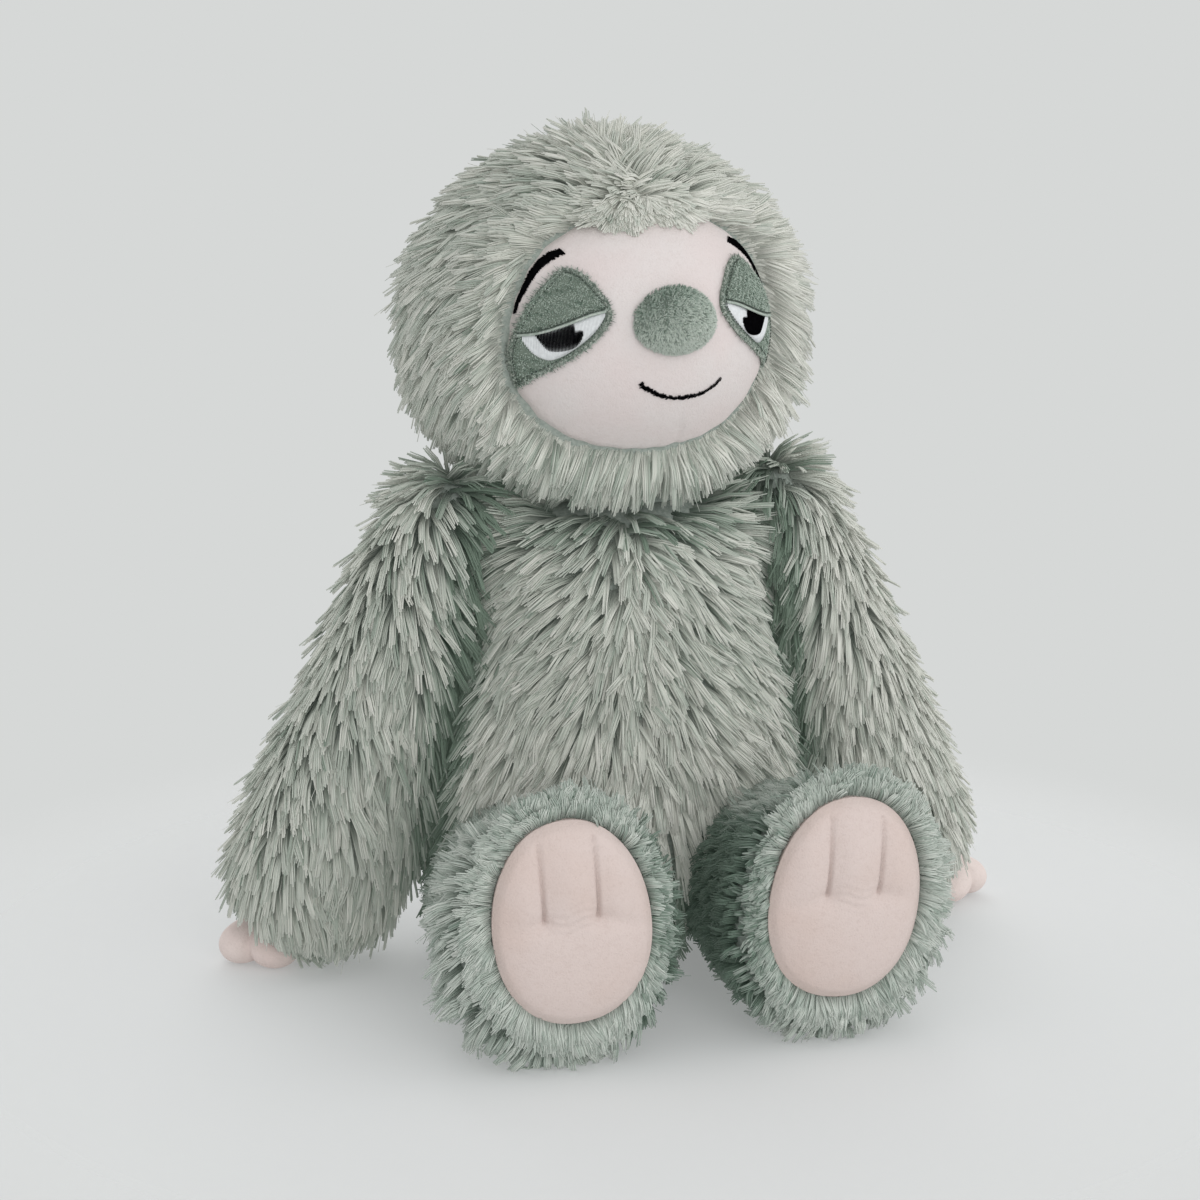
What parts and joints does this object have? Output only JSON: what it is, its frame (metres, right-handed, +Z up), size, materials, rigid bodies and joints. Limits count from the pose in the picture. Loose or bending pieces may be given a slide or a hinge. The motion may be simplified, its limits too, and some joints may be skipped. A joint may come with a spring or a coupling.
{
  "type": "plush sloth",
  "caption": "Long-armed plush sloth sitting on the floor with its soles forward: long fur, pale face, paws and soles, and sewn limbs and head that flop.",
  "frame": {"origin": "middle of the flat seat, on the surface the toy sits on", "axes": "+Z up, the toy faces -Y, and its own left is +X"},
  "size_m": [0.3184, 0.2043, 0.3213],
  "materials": {
    "long_fur": "long clumped sage green pile with grey-beige tips over a dark green backing",
    "pale_plush": "short brushed cream-pink plush",
    "nose_plush": "short brushed grey-green plush",
    "green_felt": "grey-green stitched felt",
    "white_felt": "white satin stitch",
    "black_thread": "black satin stitch",
    "fibre_filling": "loose white polyester fibre",
    "pellet_cloth": "plain woven bag"
  },
  "bodies": {
    "torso": {"torso_fur": "long_fur", "torso_stuffing": "fibre_filling", "seat_pellet_bag": "pellet_cloth"},
    "neck": {"neck_gusset": "long_fur"},
    "head": {"head_fur": "long_fur", "head_stuffing": "fibre_filling", "face_panel": "pale_plush", "nose": "nose_plush", "mouth": "black_thread", "eye_patch_left": "green_felt", "eyelid_left": "green_felt", "eye_white_left": "white_felt", "pupil_left": "black_thread", "eyebrow_left": "black_thread", "eye_patch_right": "green_felt", "eyelid_right": "green_felt", "eye_white_right": "white_felt", "pupil_right": "black_thread", "eyebrow_right": "black_thread"},
    "arm_left": {"arm_fur_left": "long_fur", "arm_stuffing_left": "fibre_filling", "paw_left": "pale_plush"},
    "leg_left": {"leg_fur_left": "long_fur", "leg_stuffing_left": "fibre_filling", "sole_left": "pale_plush"},
    "arm_right": {"arm_fur_right": "long_fur", "arm_stuffing_right": "fibre_filling", "paw_right": "pale_plush"},
    "leg_right": {"leg_fur_right": "long_fur", "leg_stuffing_right": "fibre_filling", "sole_right": "pale_plush"}
  },
  "joints": [
    {"name": "neck_nod", "type": "hinge", "parent": "torso", "child": "neck", "pos_m": [0, 0.004, 0.16], "axis": [1, 0, 0], "range_deg": [-15, 15], "stiffness_Nm_per_rad": 1.2},
    {"name": "neck_turn", "type": "hinge", "parent": "neck", "child": "head", "pos_m": [0, 0.004, 0.16], "axis": [0, 0, 1], "range_deg": [-45, 35], "stiffness_Nm_per_rad": 0.3},
    {"name": "shoulder_left", "type": "hinge", "parent": "torso", "child": "arm_left", "pos_m": [0.0568, 0.0053, 0.172], "axis": [-0.9609, -0.2396, -0.1392], "range_deg": [-40, 90]},
    {"name": "shoulder_right", "type": "hinge", "parent": "torso", "child": "arm_right", "pos_m": [-0.0568, 0.0053, 0.172], "axis": [-0.9609, 0.2396, 0.1392], "range_deg": [-40, 90]},
    {"name": "hip_left", "type": "hinge", "parent": "torso", "child": "leg_left", "pos_m": [0.047, -0.036, 0.037], "axis": [1, 0, 0], "range_deg": [-10, 80]},
    {"name": "hip_right", "type": "hinge", "parent": "torso", "child": "leg_right", "pos_m": [-0.047, -0.036, 0.037], "axis": [1, 0, 0], "range_deg": [-10, 80]}
  ]
}
